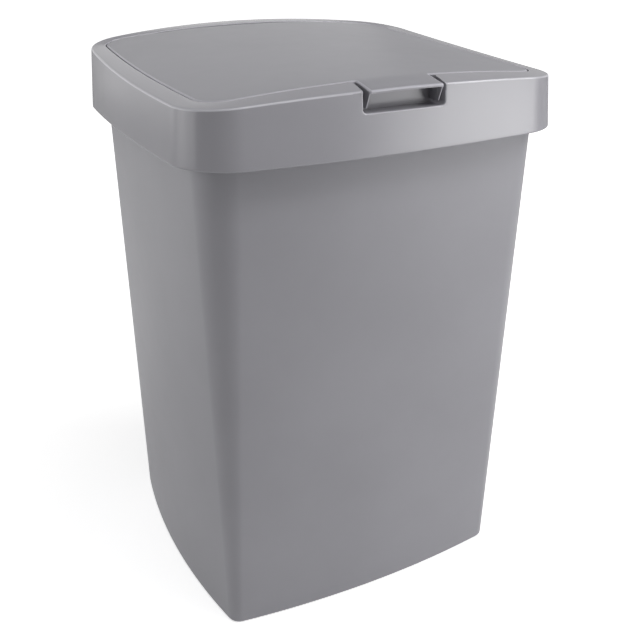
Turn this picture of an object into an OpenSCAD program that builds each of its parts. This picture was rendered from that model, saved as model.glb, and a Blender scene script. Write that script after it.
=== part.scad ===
/* [Collar] */
// Width of the collar across its top edge
collar_w = 340; // [320:1:360]
// Depth of the collar, front to back, across its top edge
collar_d = 323; // [305:1:340]
// How far the collar's lower edge stands out beyond its top edge, on each side
collar_flare = 3.5; // [2:0.1:5]
// Radius of the collar's upright corners at the top edge
collar_corner_r = 45; // [41:1:50]
// Thickness of the collar's skirt, strip and inner wall
frame_wall = 2.4; // [2:0.1:2.8]
// Height of the collar's lower edge above the floor
collar_bottom_z = 432; // [400:1:450]
// Height of the top edge above the collar's lower edge, at its corners without crown and rise
collar_h = 49.3; // [47:0.1:56]
// How far the middle of the front and back edges bows out
bow_front = 7; // [4:0.5:9]
// How far the middle of the back edge bows out
bow_back = 14; // [10:0.5:15]
// How far the middle of each side bows out
bow_side = 4; // [2:0.5:6]
// How much higher the top edge is at mid width than at its corners
edge_crown = 8; // [5:0.5:10]
// How much the top edge dips between front and back
edge_dip = 3; // [1:0.5:4]
// How much the top edge rises from mid depth to the back
edge_rise = 7.5; // [6:0.5:9]
// Size of the small chamfer along the collar's top edge
edge_soft = 1.2; // [0.6:0.1:1.6]

/* [Body] */
// Width of the body at the floor
body_base_w = 302; // [285:1:308]
// Depth of the body at the floor
body_base_d = 271; // [255:1:277]
// Radius of the body's upright corners at the floor
body_base_r = 12; // [10:1:20]
// How far the middle of the base's front bows out
base_bow_front = 9; // [6:0.5:11]
// How far the middle of the base's sides bows out
base_bow_side = 11; // [7:0.5:13]
// How far the middle of the base's back bows out
base_bow_back = 5; // [3:0.5:8]
// How far the base's centre lies behind the origin
base_shift = 4; // [0:0.5:6]
// Step in from the collar's lower edge to the body wall
overhang = 15; // [14:0.5:17]
// Thickness of the body's wall
body_wall = 2.5; // [2:0.1:3]
// Height of the body's rim above the collar's lower edge
rim_rise = 23; // [20:1:24]
// How far the rim stands out from the body wall
rim_out = 9; // [7:0.5:10]
// Height of the rim's turned down lip
rim_lip_h = 9; // [7:0.5:11]
// Thickness of the rim
rim_t = 2.2; // [1.8:0.1:2.6]
// Thickness of the floor of the body
floor_t = 2.8; // [2.4:0.1:3.4]
// Height of the ring foot under the floor
foot_h = 3; // [2:0.5:4]
// Width of the ring foot
foot_w = 7; // [5:0.5:9]
// Softening of the bottom edge
base_soft = 3; // [2:0.5:4]

/* [Lid opening] */
// Width of the opening in the strip, at mid side
open_w = 308; // [302:1:312]
// Width of the strip at the middle of the front
strip_front = 17; // [15:0.5:19]
// Width of the strip at the middle of the back
strip_back = 21.7; // [20:0.1:24]
// Radius of the opening's front corners
open_front_r = 28; // [24:1:32]
// Radius of the opening's back corners
open_back_r = 24; // [22:1:27]
// Gap between the lid and the opening
lid_gap = 1.3; // [1:0.1:1.6]
// Height of the seat ledge's top above the collar's lower edge
ledge_rise = 33; // [31:0.5:34]
// Width of the seat ledge inside the opening
ledge_w = 10; // [8:0.5:12]
// Length of the inner lip under the ledge
inner_lip_h = 20; // [14:1:24]
// Clearance between pieces that rest on each other
seat_gap = 0.3; // [0.2:0.05:0.5]

/* [Flap lid] */
// Height of the lid's middle above the collar's top edge at its corners
lid_rise = 10.2; // [9.5:0.1:11]
// Radius of the lid's crown across its width
lid_crown_r = 1115; // [1000:5:1300]
// Tilt of the lid's surface, rising to the back, in degrees
lid_tilt = 2; // [1.8:0.1:2.2]
// Thickness of the lid's skin
lid_wall = 2.2; // [1.8:0.1:2.4]
// Clear height between the lid's rim and the ledge at the front
lid_clear = 4; // [3.6:0.1:4.4]
// Width of the lift tab
tab_w = 64; // [56:1:66]
// Width of the notch for the tab
notch_w = 72; // [70:1:80]
// How far the lip of the tab stands out from the collar's top edge
tab_reach = 3.5; // [2.5:0.1:3.5]
// Drop of the tab from the lid's front edge to its lip
tab_drop = 4; // [3:0.5:5]
// Thickness of the tab's skin
tab_t = 2.4; // [2:0.1:2.8]
// Thickness of the tab's side cheeks
cheek_t = 2; // [1.6:0.1:2.4]
// Distance the cheeks' front edges slope back on their way down
cheek_back = 6.5; // [4:0.5:8]
// Radius of the notch's lower corners
notch_r = 3; // [2:0.5:4]

/* [Hinge] */
// Distance from the centre plane to the middle of each hinge
hinge_x = 48; // [40:0.5:54]
// Radius of the lid's rolled back edge about the hinge axis
roll_r = 9.5; // [9:0.1:10]
// Depth of the hinge axis under the lid's surface
hinge_depth = 9.4; // [9:0.1:9.8]
// Radius of the hinge pin
pin_r = 2; // [1.6:0.1:2.4]
// Running clearance of the pin in its bores
pin_fit = 0.05; // [0.03:0.01:0.08]
// Thickness of the hinge pin's head
pin_head_t = 1.5; // [1:0.1:2.5]
// Radius of the hinge ears about the axis
ear_r = 4.6; // [4.2:0.1:4.8]
// Thickness of each frame ear
ear_t = 5; // [4:0.5:6]
// Length of the lid's knuckle between the ears
knuckle_l = 9.8; // [8:0.1:12]
// Gap between the knuckle and the ears
ear_gap = 0.4; // [0.3:0.1:0.6]
// Angle through which the lid swings open, in degrees
swing_deg = 95; // [85:1:95]
// Angle through which a push drives the closed lid down, in degrees
press_deg = 0.5; // [0.3:0.1:0.5]
// Angle through which the plunger lifts the lid when it is let go, in degrees
pop_deg = 2.4; // [1.5:0.1:2.4]

/* [Latch] */
// Distance from the inner lip to the plunger's axis
plunger_in = 10; // [9.5:0.5:12]
// Radius of the plunger
plunger_r = 6; // [5.5:0.1:6.2]
// Running clearance of the plunger in its housing
plunger_fit = 0.06; // [0.04:0.01:0.09]
// Length of the plunger
plunger_l = 24; // [22:1:26]
// Radius of the magnet
magnet_r = 4; // [3:0.5:4.5]
// Thickness of the magnet
magnet_t = 3; // [2:0.5:4]
// Thickness of the strike plate
strike_t = 1.5; // [1:0.1:2]
// Radius of the strike plate
strike_r = 8; // [7:0.5:8.5]
// Gap between the magnet and the strike plate
strike_gap = 0.3; // [0.3:0.05:0.5]
// Width of the latch housing
housing_w = 22; // [20:1:26]
// Height of the latch housing
housing_h = 34; // [32:1:38]
// Thickness of the housing's ears and of its floor
housing_t = 3; // [2.5:0.5:4]
// Distance from the centre plane to each latch screw
screw_x = 17.5; // [17:0.5:19]
// Radius of a screw's shank
screw_r = 1.5; // [1.2:0.1:1.7]
// Radius of a screw's head
screw_head_r = 3; // [2.6:0.1:3.4]
// Length of a screw under its head
screw_l = 6; // [5.5:0.5:7]
// Outer radius of the spring
spring_r = 5; // [4:0.5:5.2]
// Thickness of the spring's wire
spring_wire = 0.9; // [0.6:0.1:1.2]

/* [Bumpers] */
// Distance from the centre plane to each bumper
bumper_x = 100; // [70:1:106]
// Radius of a bumper's pad
bumper_r = 4; // [3:0.5:4.5]
// Radius of a bumper's stem
bumper_stem_r = 1.8; // [1.4:0.1:2]

/* [Hidden] */
$fn = 48;
collar_colour = [0.64, 0.64, 0.66];
body_colour = [0.58, 0.58, 0.60];
lid_colour = [0.56, 0.56, 0.58];
dark_colour = [0.30, 0.30, 0.32];
steel_colour = [0.75, 0.76, 0.78];
rubber_colour = [0.20, 0.20, 0.21];
side_n = 13;
corner_n = 9;
eps = 0.01;
hw = collar_w / 2;
hd = collar_d / 2;
edge_z = collar_bottom_z + collar_h;
rim_z = collar_bottom_z + rim_rise;
ledge_z = collar_bottom_z + ledge_rise;
lid_top_z = edge_z + lid_rise;
ledge_low = ledge_z - frame_wall;
lip_low = ledge_low - inner_lip_h;
open_front_y = -hd + strip_front;
open_back_y = hd - strip_back;
lid_front_y = open_front_y + lid_gap;
lid_back_y = open_back_y - lid_gap;
axis_y = lid_back_y - roll_r;
axis_z = lid_top_z + axis_y * tan(lid_tilt) - hinge_depth;
lid_low_z = ledge_z + lid_clear;
inner_front_y = open_front_y + ledge_w;
pad_y = inner_front_y + 0.6;
latch_y = pad_y + plunger_in;
hinge_span = ear_t + ear_gap + knuckle_l / 2;
tab_len = hd + tab_reach + lid_front_y;
lip_y = -hd - tab_reach;
tab_tilt = atan(tab_drop / tab_len);
lip_z = lid_top_z + lid_front_y * tan(lid_tilt) - tab_drop;
lip_h = 2.6;
cheek_low = ledge_z + lid_clear - 0.8;
pass_z = lid_top_z + lid_front_y * tan(lid_tilt) - tab_t - 1.4;
front_press = (axis_y - lip_y) * sin(press_deg);
pocket_wall_z = pass_z - front_press - seat_gap;
pad_half = 22;
pad_low = lip_low - 5;
latch_arm = axis_y - latch_y;
press_travel = latch_arm * press_deg * PI / 180;
pop_travel = latch_arm * pop_deg * PI / 180;
housing_top = ledge_z + 5;
housing_low = housing_top - housing_h;
plunger_top = housing_top + 3;
plunger_low = plunger_top - plunger_l;
magnet_proud = 0.3;
strike_low = plunger_top + magnet_proud + strike_gap;
boss_low = strike_low + 0.7;
stop_r = 1;
stop_z = plunger_low + 2.3 + stop_r + pop_travel;
spring_low = housing_low + housing_t + 0.05;
screw_z = housing_low + 16;
bumper_y = open_front_y + bow_back_at(bumper_x, open_w / 2, open_front_r) + bumper_r + 0.6;
bumper_h = lid_clear - (axis_y - bumper_y) * sin(press_deg) - seat_gap;

// Height of the collar's top edge at a place in plan
function edge_height(p) = edge_z + edge_crown * (1 - pow(p.x / hw, 2)) - edge_dip * (1 - pow(p.y / hd, 2))
    + edge_rise * p.y / hd;

// Height of the lid's crowned surface at a place in plan
function lid_height(p) = lid_top_z + p.y * tan(lid_tilt)
    + (sqrt(lid_crown_r * lid_crown_r - p.x * p.x) - lid_crown_r) / cos(lid_tilt);

// Points of one bowed side between two corner centres, with a corner radius at each end
function side_points(p, q, bow, rp, rq) =
    let(c = norm(q - p), t = (q - p) / c, outward = [t.y, -t.x], s = max(bow, 0.01),
        big_r = (c * c / 4 + s * s) / (2 * s), centre = (p + q) / 2 + outward * (s - big_r),
        half = asin(c / 2 / big_r), mid = atan2(outward.y, outward.x))
    [for (i = [0:side_n - 1]) let(u = i / (side_n - 1), a = mid - half + 2 * half * u)
        centre + (big_r + rp + (rq - rp) * u) * [cos(a), sin(a)]];

// Half the angle that a bowed side turns through
function side_half(p, q, bow) =
    let(c = norm(q - p), s = max(bow, 0.01)) asin(c / 2 / ((c * c / 4 + s * s) / (2 * s)));

// Points of one rounded corner between its two sides
function corner_points(p, r, mid, before, after) =
    [for (i = [1:corner_n]) let(a = mid - 45 + before + (90 - before - after) * i / (corner_n + 1))
        p + r * [cos(a), sin(a)]];

// A bowed rounded rectangle, given by its half width, front and back, corner radii and bows
function outline(w, yf, yb, rf, rb, bf, bs, bb) =
    let(fl = [-(w - bs - rf), yf + bf + rf], fr = [w - bs - rf, yf + bf + rf],
        br = [w - bs - rb, yb - bb - rb], bl = [-(w - bs - rb), yb - bb - rb],
        hf = side_half(fl, fr, bf), hs = side_half(fr, br, bs), hb = side_half(br, bl, bb),
        lean = atan2(fr.x - br.x, br.y - fr.y))
    concat(side_points(fl, fr, bf, rf, rf), corner_points(fr, rf, -45, hf, hs - lean),
           side_points(fr, br, bs, rf, rb), corner_points(br, rb, 45, hs + lean, hb),
           side_points(br, bl, bb, rb, rb), corner_points(bl, rb, 135, hb, hs + lean),
           side_points(bl, fl, bs, rb, rf), corner_points(fl, rf, -135, hs - lean, hf));

// The collar's outline, drawn in by a distance
function collar_outline(inset) = outline(hw - inset, -hd + inset, hd - inset, collar_corner_r - inset,
    collar_corner_r - inset, bow_front, bow_side, bow_back);

// The opening's outline, drawn in by a distance
function open_outline(inset) = outline(open_w / 2 - inset, open_front_y + inset, open_back_y - inset,
    open_front_r - inset, open_back_r - inset, bow_front, bow_side, 0);

// The body's outline at a height, drawn in by a distance
function body_outline(z, inset) =
    let(u = z / collar_bottom_z, top = collar_outline(overhang - collar_flare + inset),
        low = outline(body_base_w / 2 - inset, base_shift - body_base_d / 2 + inset,
            base_shift + body_base_d / 2 - inset, body_base_r - inset, body_base_r - inset,
            base_bow_front, base_bow_side, base_bow_back))
    [for (i = [0:len(top) - 1]) low[i] + (top[i] - low[i]) * u];

// Outline part way from one outline to another
function mix(from, to, part) = [for (i = [0:len(from) - 1]) from[i] + (to[i] - from[i]) * part];

// Lifts a plan outline to a height
function level(points, z) = [for (p = points) [p.x, p.y, z]];
function on_edge(points, drop) = [for (p = points) [p.x, p.y, edge_height(p) - drop]];
function on_lid(points, drop) = [for (p = points) [p.x, p.y, lid_height(p) - drop]];

// Skin between successive rings of points, closed by a last ring or by flat caps
module ring_skin(rings, closed) {
    n = len(rings[0]);
    m = len(rings);
    points = [for (ring = rings) each ring];
    last = closed ? m - 1 : m - 2;
    sides = [for (j = [0:last]) for (i = [0:n - 1])
        let(a = j * n + i, b = j * n + (i + 1) % n, c = ((j + 1) % m) * n + (i + 1) % n, d = ((j + 1) % m) * n + i,
            rising = points[d].z > points[a].z, right = points[a].x + points[b].x > 0)
        each rising == right ? [[a, b, c], [a, c, d]] : [[a, b, d], [b, c, d]]];
    caps = closed ? [] : [[for (i = [0:n - 1]) n - 1 - i], [for (i = [0:n - 1]) (m - 1) * n + i]];
    polyhedron(points = points, faces = [for (f = concat(sides, caps)) [for (k = [len(f) - 1:-1:0]) f[k]]]);
}

// Bucket with a turned down rim and a ring foot
module bin_body() {
    lip_z = rim_z - rim_lip_h;
    color(body_colour)
    ring_skin([
        level(body_outline(foot_h, foot_w + 1), foot_h),
        level(body_outline(0, foot_w), 0),
        level(body_outline(0, base_soft), 0),
        level(body_outline(0, base_soft * 0.3), base_soft * 0.3),
        level(body_outline(base_soft, 0), base_soft),
        level(body_outline(collar_bottom_z, 0), collar_bottom_z),
        level(body_outline(rim_z - rim_t, 0), rim_z - rim_t),
        level(body_outline(rim_z, rim_t - rim_out), rim_z - rim_t),
        level(body_outline(rim_z, rim_t - rim_out), lip_z),
        level(body_outline(rim_z, -rim_out), lip_z),
        level(body_outline(rim_z, -rim_out), rim_z - 1),
        level(body_outline(rim_z, 1 - rim_out), rim_z),
        level(body_outline(rim_z, body_wall), rim_z),
        level(body_outline(foot_h + floor_t + base_soft, body_wall), foot_h + floor_t + base_soft),
        level(body_outline(foot_h + floor_t, body_wall + base_soft), foot_h + floor_t)], false);
}

// Ring of the collar: skirt, bevelled strip, inner wall, ledge, inner lip and the rib that sits on the rim
module frame_ring() {
    rib_low = rim_z + seat_gap;
    skin = collar_outline(frame_wall);
    wall = open_outline(-frame_wall);
    ring_skin([
        level(collar_outline(frame_wall - collar_flare), collar_bottom_z),
        level(collar_outline(-collar_flare), collar_bottom_z),
        on_edge(collar_outline(0), edge_soft),
        on_edge(collar_outline(edge_soft * 0.3), edge_soft * 0.3),
        on_edge(collar_outline(edge_soft), 0),
        on_lid(open_outline(0), 0),
        level(open_outline(0), ledge_z),
        level(open_outline(ledge_w), ledge_z),
        level(open_outline(ledge_w), lip_low),
        level(open_outline(ledge_w - frame_wall), lip_low),
        level(open_outline(ledge_w - frame_wall), ledge_low),
        level(wall, ledge_low),
        on_lid(wall, frame_wall),
        on_edge(mix(skin, wall, 0.6), frame_wall),
        level(mix(skin, wall, 0.6), rib_low),
        level(mix(skin, wall, 0.35), rib_low),
        on_edge(mix(skin, wall, 0.35), frame_wall),
        on_edge(skin, frame_wall + 0.6)], true);
}

// How far a bowed front edge falls back at a distance from the middle
function bow_back_at(x, w, r) =
    let(half_chord = w - bow_side - r, flat_r = (half_chord * half_chord + bow_front * bow_front) / (2 * bow_front),
        full_r = flat_r + r)
    full_r - sqrt(full_r * full_r - x * x);

// Height of the lid's rim at a distance back
function rim_low(y) = lid_low_z + (y - lid_front_y) * tan(lid_tilt);

// Extrudes a side profile, drawn as back and up, to a width about the centre plane
module side_profile(width) {
    rotate([90, 0, 90])
    linear_extrude(width, center = true)
    children();
}

// Block between two corners
module block(low, high) {
    translate(low)
    cube(high - low);
}

// Cylinder along X about a place in the back and up plane
module cross_rod(r, length, x, y, z) {
    translate([x - length / 2, y, z])
    rotate([0, 90, 0])
    cylinder(r = r, h = length);
}

// Space cut from the ring for the tab and the finger pocket
module pocket_cut() {
    half = notch_w / 2;
    back = open_front_y - frame_wall;
    top = edge_z + 20;
    translate([0, back, 0])
    rotate([90, 0, 0])
    linear_extrude(hd + 40) {
        translate([-half, ledge_z + notch_r])
        square([notch_w, top - ledge_z - notch_r]);
        translate([notch_r - half, ledge_z])
        square([notch_w - 2 * notch_r, top - ledge_z]);
        for (s = [-1, 1])
            translate([s * (half - notch_r), ledge_z + notch_r])
            circle(r = notch_r);
    }
    block([-half, back - eps, pocket_wall_z], [half, open_front_y + 5, top]);
}

// Floor and side walls of the finger pocket
module pocket_walls() {
    half = notch_w / 2;
    side_t = 2;
    front = -hd + 0.3;
    back = open_front_y - frame_wall / 2;
    block([-half - side_t, front, ledge_low], [half + side_t, back, ledge_z]);
    for (s = [-1, 1])
        translate([s * (half + side_t / 2), 0, 0])
        side_profile(side_t)
        polygon([[front, ledge_low], [back, ledge_low],
                 [back, lid_height([half, back]) - frame_wall / 2],
                 [front, edge_height([half, front]) - frame_wall / 2]]);
}

// One hinge ear of the frame, standing on the ledge and the inner lip
module frame_ear(x) {
    lip_back_y = open_back_y - ledge_w + frame_wall / 2;
    reach = ear_r * 2;
    translate([x, 0, 0])
    side_profile(ear_t) {
        translate([axis_y, axis_z])
        circle(r = ear_r);
        polygon([[lip_back_y, lip_low + 4], [lip_back_y + 4, ledge_low + frame_wall / 2],
                 [lip_back_y + 4, axis_z - roll_r - 1], [axis_y - 2.2, axis_z - roll_r], [axis_y - 2.2, axis_z + 1],
                 [axis_y - ear_r + 0.6, axis_z + 2.4], [axis_y - reach - 2.2, axis_z - reach],
                 [axis_y - reach - 2.2, ledge_z], [axis_y - 6, lip_low + 8]]);
    }
}

// Collar with its pocket, hinge ears, latch pad and bores
module lid_frame() {
    color(collar_colour)
    difference() {
        union() {
            difference() {
                frame_ring();
                pocket_cut();
            }
            pocket_walls();
            block([-pad_half, inner_front_y - frame_wall / 2, pad_low], [pad_half, pad_y, ledge_z]);
            for (s = [-1, 1]) {
                frame_ear(s * (hinge_x - hinge_span + ear_t / 2));
                frame_ear(s * (hinge_x + hinge_span - ear_t / 2));
            }
        }
        for (s = [-1, 1]) {
            cross_rod(pin_r + pin_fit, 2 * hinge_span + 2, s * hinge_x, axis_y, axis_z);
            translate([s * screw_x, pad_y + 1, screw_z])
            rotate([90, 0, 0])
            cylinder(r = screw_r + 0.03, h = 12);
            translate([s * bumper_x, bumper_y, ledge_low - 1])
            cylinder(r = bumper_stem_r + 0.03, h = frame_wall + 2);
        }
    }
}

// Solid under the lid's crowned surface, drawn in by a distance
module crown_solid(inset) {
    translate([0, 0, lid_top_z])
    rotate([lid_tilt, 0, 0])
    translate([0, 0, -lid_crown_r])
    rotate([90, 0, 0])
    cylinder(r = lid_crown_r - inset, h = 2 * collar_d, center = true, $fn = 720);
}

// The lid's outer form, or its hollow when drawn in
module lid_form(inset) {
    intersection() {
        crown_solid(inset);
        translate([0, 0, ledge_z])
        linear_extrude(edge_z - ledge_z + 60)
        polygon(open_outline(lid_gap + inset));
        union() {
            block([-hw, -hd, ledge_z - 20], [hw, axis_y, edge_z + 60]);
            cross_rod(roll_r - inset, collar_w, 0, axis_y, axis_z, $fn = 96);
        }
    }
}

// Space under the lid's rim, which falls to the front as the lid's surface does
module under_rim() {
    far = 60;
    side_profile(collar_w)
    polygon([[lid_front_y - far, rim_low(lid_front_y - far)], [axis_y, rim_low(axis_y)], [axis_y, axis_z],
             [hd, axis_z], [hd, ledge_z - far], [lid_front_y - far, ledge_z - far]]);
}

// Solid under the tab's sloping surface, drawn down by a distance
module tab_crown(inset) {
    translate([0, lid_front_y, lid_height([0, lid_front_y])])
    rotate([tab_tilt, 0, 0])
    translate([0, 0, -lid_crown_r])
    rotate([90, 0, 0])
    cylinder(r = lid_crown_r - inset, h = collar_d, center = true, $fn = 720);
}

// Lift tab with its lip and side cheeks
module tab() {
    wall_gap = 1;
    back = open_front_y - frame_wall - wall_gap;
    lip_low_z = lip_z - lip_h;
    above = lip_z + 10;
    joint_y = lid_front_y + lid_wall;
    difference() {
        intersection() {
            tab_crown(0);
            side_profile(tab_w)
            polygon([[lip_y, above], [lip_y, lip_low_z], [lip_y + cheek_back, cheek_low], [back, cheek_low],
                     [back, pass_z], [joint_y, pass_z], [joint_y, above]]);
        }
        intersection() {
            tab_crown(tab_t);
            side_profile(tab_w - 2 * cheek_t)
            polygon([[lip_y + tab_t, above], [lip_y + tab_t, lip_low_z - eps], [lip_y - 5, lip_low_z - eps],
                     [lip_y - 5, cheek_low - 5], [lid_front_y, cheek_low - 5], [lid_front_y, above]]);
        }
    }
}

// Crowned flap with a rolled back edge, a lift tab, two hinge knuckles and a strike boss
module flap_lid() {
    color(lid_colour)
    difference() {
        union() {
            difference() {
                lid_form(0);
                under_rim();
                lid_form(lid_wall);
            }
            tab();
            intersection() {
                lid_form(lid_wall / 2);
                union() {
                    for (s = [-1, 1])
                        block([s * hinge_x - knuckle_l / 2, axis_y - ear_r, axis_z],
                              [s * hinge_x + knuckle_l / 2, axis_y + ear_r, axis_z + 30]);
                    translate([0, latch_y, boss_low])
                    cylinder(r = strike_r + 1.5, h = 30);
                }
            }
            for (s = [-1, 1])
                cross_rod(ear_r, knuckle_l, s * hinge_x, axis_y, axis_z);
        }
        for (s = [-1, 1])
            cross_rod(pin_r + pin_fit, knuckle_l + 2, s * hinge_x, axis_y, axis_z);
        translate([0, latch_y, boss_low - 1])
        cylinder(r = strike_r + 0.05, h = strike_low + strike_t - boss_low + 1);
    }
}

// Headed steel pin of one hinge
module hinge_pin(s) {
    head_x = hinge_x + hinge_span + seat_gap + pin_head_t / 2;
    tip_x = hinge_x - hinge_span - 1;
    color(steel_colour) {
        cross_rod(pin_r, head_x - tip_x, s * (head_x + tip_x) / 2, axis_y, axis_z);
        cross_rod(pin_r + 1.2, pin_head_t, s * head_x, axis_y, axis_z);
    }
}
module hinge_pin_left() {
    hinge_pin(-1);
}
module hinge_pin_right() {
    hinge_pin(1);
}

// Housing with the plunger's bore and two screw ears
module latch_housing() {
    half = housing_w / 2;
    back = latch_y + plunger_r + 2.5;
    color(dark_colour)
    difference() {
        union() {
            block([-half, pad_y, housing_low], [half, back, housing_top]);
            block([0.5 - pad_half, pad_y, screw_z - 7], [pad_half - 0.5, pad_y + housing_t, screw_z + 7]);
        }
        translate([0, latch_y, housing_low + housing_t])
        cylinder(r = plunger_r + plunger_fit, h = housing_h);
        cross_rod(stop_r + 0.03, housing_w + 2, 0, latch_y, stop_z);
        for (s = [-1, 1])
            translate([s * screw_x, pad_y + housing_t + 1, screw_z])
            rotate([90, 0, 0])
            cylinder(r = screw_r + 0.1, h = housing_t + 2);
    }
}

// Plunger with a magnet pocket in its top and a slot for the stop pin
module latch_plunger() {
    slot_half = stop_r + 0.1;
    slot_low = stop_z - pop_travel - stop_r - 0.3;
    slot_high = stop_z + press_travel + stop_r + 0.3;
    color(collar_colour)
    difference() {
        translate([0, latch_y, plunger_low])
        cylinder(r = plunger_r, h = plunger_l);
        translate([0, latch_y, plunger_top + magnet_proud - magnet_t])
        cylinder(r = magnet_r + 0.03, h = magnet_t + 1);
        block([-plunger_r - 1, latch_y - slot_half, slot_low + slot_half],
              [plunger_r + 1, latch_y + slot_half, slot_high - slot_half]);
        for (z = [slot_low + slot_half, slot_high - slot_half])
            cross_rod(slot_half, 2 * plunger_r + 2, 0, latch_y, z);
    }
}

// Compression spring under the plunger, drawn as the sleeve that it fills
module latch_spring() {
    color(steel_colour)
    translate([0, latch_y, spring_low])
    difference() {
        cylinder(r = spring_r, h = plunger_low - seat_gap - spring_low);
        translate([0, 0, -1])
        cylinder(r = spring_r - spring_wire, h = plunger_l);
    }
}

// Cross pin that keeps the plunger in the housing
module latch_stop_pin() {
    color(steel_colour)
    cross_rod(stop_r, housing_w - 1, 0, latch_y, stop_z);
}

// Disc magnet set in the plunger
module latch_magnet() {
    color(dark_colour)
    translate([0, latch_y, plunger_top + magnet_proud - magnet_t])
    cylinder(r = magnet_r, h = magnet_t);
}

// Steel disc under the lid that the magnet holds
module strike_plate() {
    color(steel_colour)
    translate([0, latch_y, strike_low])
    cylinder(r = strike_r, h = strike_t);
}

// Two screws that hold the latch housing, each with a cross recess
module latch_screws() {
    head_h = 1.8;
    color(steel_colour)
    for (s = [-1, 1])
        translate([s * screw_x, pad_y + housing_t, screw_z])
        rotate([90, 0, 0])
        difference() {
            union() {
                cylinder(r = screw_r, h = screw_l);
                translate([0, 0, -head_h])
                cylinder(r = screw_head_r, h = head_h);
            }
            for (turn = [0, 90])
                rotate([0, 0, turn])
                translate([-screw_head_r * 0.6, -0.3, -head_h - 1])
                cube([screw_head_r * 1.2, 0.6, 1.9]);
        }
}

// Two soft pads plugged into the ledge
module lid_bumpers() {
    color(rubber_colour)
    for (s = [-1, 1])
        translate([s * bumper_x, bumper_y, 0]) {
            translate([0, 0, ledge_z])
            cylinder(r = bumper_r, h = bumper_h);
            translate([0, 0, ledge_low - 1])
            cylinder(r = bumper_stem_r, h = frame_wall + 1.5);
            translate([0, 0, ledge_low - 1])
            cylinder(r = bumper_stem_r + 0.5, h = 1);
        }
}

bin_body();
lid_frame();
flap_lid();
hinge_pin_left();
hinge_pin_right();
latch_housing();
latch_plunger();
latch_spring();
latch_stop_pin();
latch_magnet();
strike_plate();
latch_screws();
lid_bumpers();
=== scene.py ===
import bpy
import bmesh
from math import asin, atan, atan2, cos, hypot, pi, radians, sin, sqrt, tan
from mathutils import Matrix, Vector
from mathutils.geometry import delaunay_2d_cdt


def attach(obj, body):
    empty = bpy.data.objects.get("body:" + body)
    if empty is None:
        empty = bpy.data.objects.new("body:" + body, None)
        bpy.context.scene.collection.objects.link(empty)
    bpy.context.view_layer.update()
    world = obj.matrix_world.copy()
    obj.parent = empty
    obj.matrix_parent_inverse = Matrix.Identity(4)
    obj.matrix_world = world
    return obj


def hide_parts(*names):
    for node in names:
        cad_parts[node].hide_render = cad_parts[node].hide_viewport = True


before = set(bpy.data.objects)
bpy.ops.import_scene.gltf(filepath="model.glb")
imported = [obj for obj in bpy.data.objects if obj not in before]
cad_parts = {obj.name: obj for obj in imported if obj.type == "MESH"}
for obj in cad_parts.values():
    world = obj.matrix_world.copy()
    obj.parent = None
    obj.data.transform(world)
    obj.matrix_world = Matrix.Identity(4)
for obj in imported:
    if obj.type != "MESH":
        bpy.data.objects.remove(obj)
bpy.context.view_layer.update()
MM = 0.001

# Sizes of the bin in millimetres, as the part's own
COLLAR_W, COLLAR_D, FLARE, COLLAR_R, WALL = 340.0, 323.0, 3.5, 45.0, 2.4
BOTTOM_Z, COLLAR_H = 432.0, 49.3
BOW_FRONT, BOW_BACK, BOW_SIDE = 7.0, 14.0, 4.0
CROWN, DIP, RISE = 8.0, 3.0, 7.5
BASE_W, BASE_D, BASE_R, BASE_SHIFT = 302.0, 271.0, 12.0, 4.0
BASE_BOWS = (9.0, 11.0, 5.0)
OVERHANG, BODY_WALL = 15.0, 2.5
RIM_RISE, RIM_OUT, RIM_LIP, RIM_T = 23.0, 9.0, 9.0, 2.2
FLOOR_T, FOOT_H, FOOT_W = 2.8, 3.0, 7.0
OPEN_W, STRIP_FRONT, STRIP_BACK, OPEN_RF, OPEN_RB = 308.0, 17.0, 21.7, 28.0, 24.0
LID_GAP, LEDGE_RISE, LEDGE_W, INNER_LIP, SEAT = 1.3, 33.0, 10.0, 20.0, 0.3
LID_RISE, LID_R, LID_TILT, LID_WALL, LID_CLEAR = 10.2, 1115.0, radians(2.0), 2.2, 4.0
TAB_W, NOTCH_W, TAB_REACH, TAB_DROP, TAB_T, NOTCH_R = 64.0, 72.0, 3.5, 4.0, 2.4, 3.0
ROLL_R, HINGE_DEPTH, HINGE_X, PIN_R, EAR_R, EAR_T, KNUCKLE, EAR_GAP = 9.5, 9.4, 48.0, 2.0, 4.6, 5.0, 9.8, 0.4
PLUNGER_IN, STRIKE_R, CHEEK_BACK, LIP_TURN = 10.0, 8.0, 6.5, 1.7
# Sizes of the visible finish alone
LIP_T, FILL_SIDE, NOTCH_EDGE, ABOVE = 2.2, 2.0, 1.0, 25.0
# Narrow faces that round an edge by more than a few degrees get a painted highlight; these set their width and bend
HIGHLIGHT_WIDTH, HIGHLIGHT_BEND, HIGHLIGHT_SPAN = 0.75, 6, 5
LID_SKIN, EDGE_FILLET = 2.0, 1.5

HW, HD = COLLAR_W / 2, COLLAR_D / 2
EDGE_Z = BOTTOM_Z + COLLAR_H
RIM_Z = BOTTOM_Z + RIM_RISE
LEDGE_Z = BOTTOM_Z + LEDGE_RISE
LEDGE_LOW = LEDGE_Z - WALL
LIP_LOW = LEDGE_LOW - INNER_LIP
LID_TOP = EDGE_Z + LID_RISE
OPEN_FY = -HD + STRIP_FRONT
OPEN_BY = HD - STRIP_BACK
LID_FY = OPEN_FY + LID_GAP
LID_BY = OPEN_BY - LID_GAP
AXIS_Y = LID_BY - ROLL_R
AXIS_Z = LID_TOP + AXIS_Y * tan(LID_TILT) - HINGE_DEPTH
LID_LOW = LEDGE_Z + LID_CLEAR
LIP_Y = -HD - TAB_REACH
TAB_TILT = atan(TAB_DROP / (LID_FY - LIP_Y))
LIP_Z = LID_TOP + LID_FY * tan(LID_TILT) - TAB_DROP
LIP_LOW_Z = LIP_Z - LIP_T
PASS_Z = LID_TOP + LID_FY * tan(LID_TILT) - TAB_T - 1.4
POCKET_Z = PASS_Z - (AXIS_Y - LIP_Y) * sin(radians(0.5)) - SEAT
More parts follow.
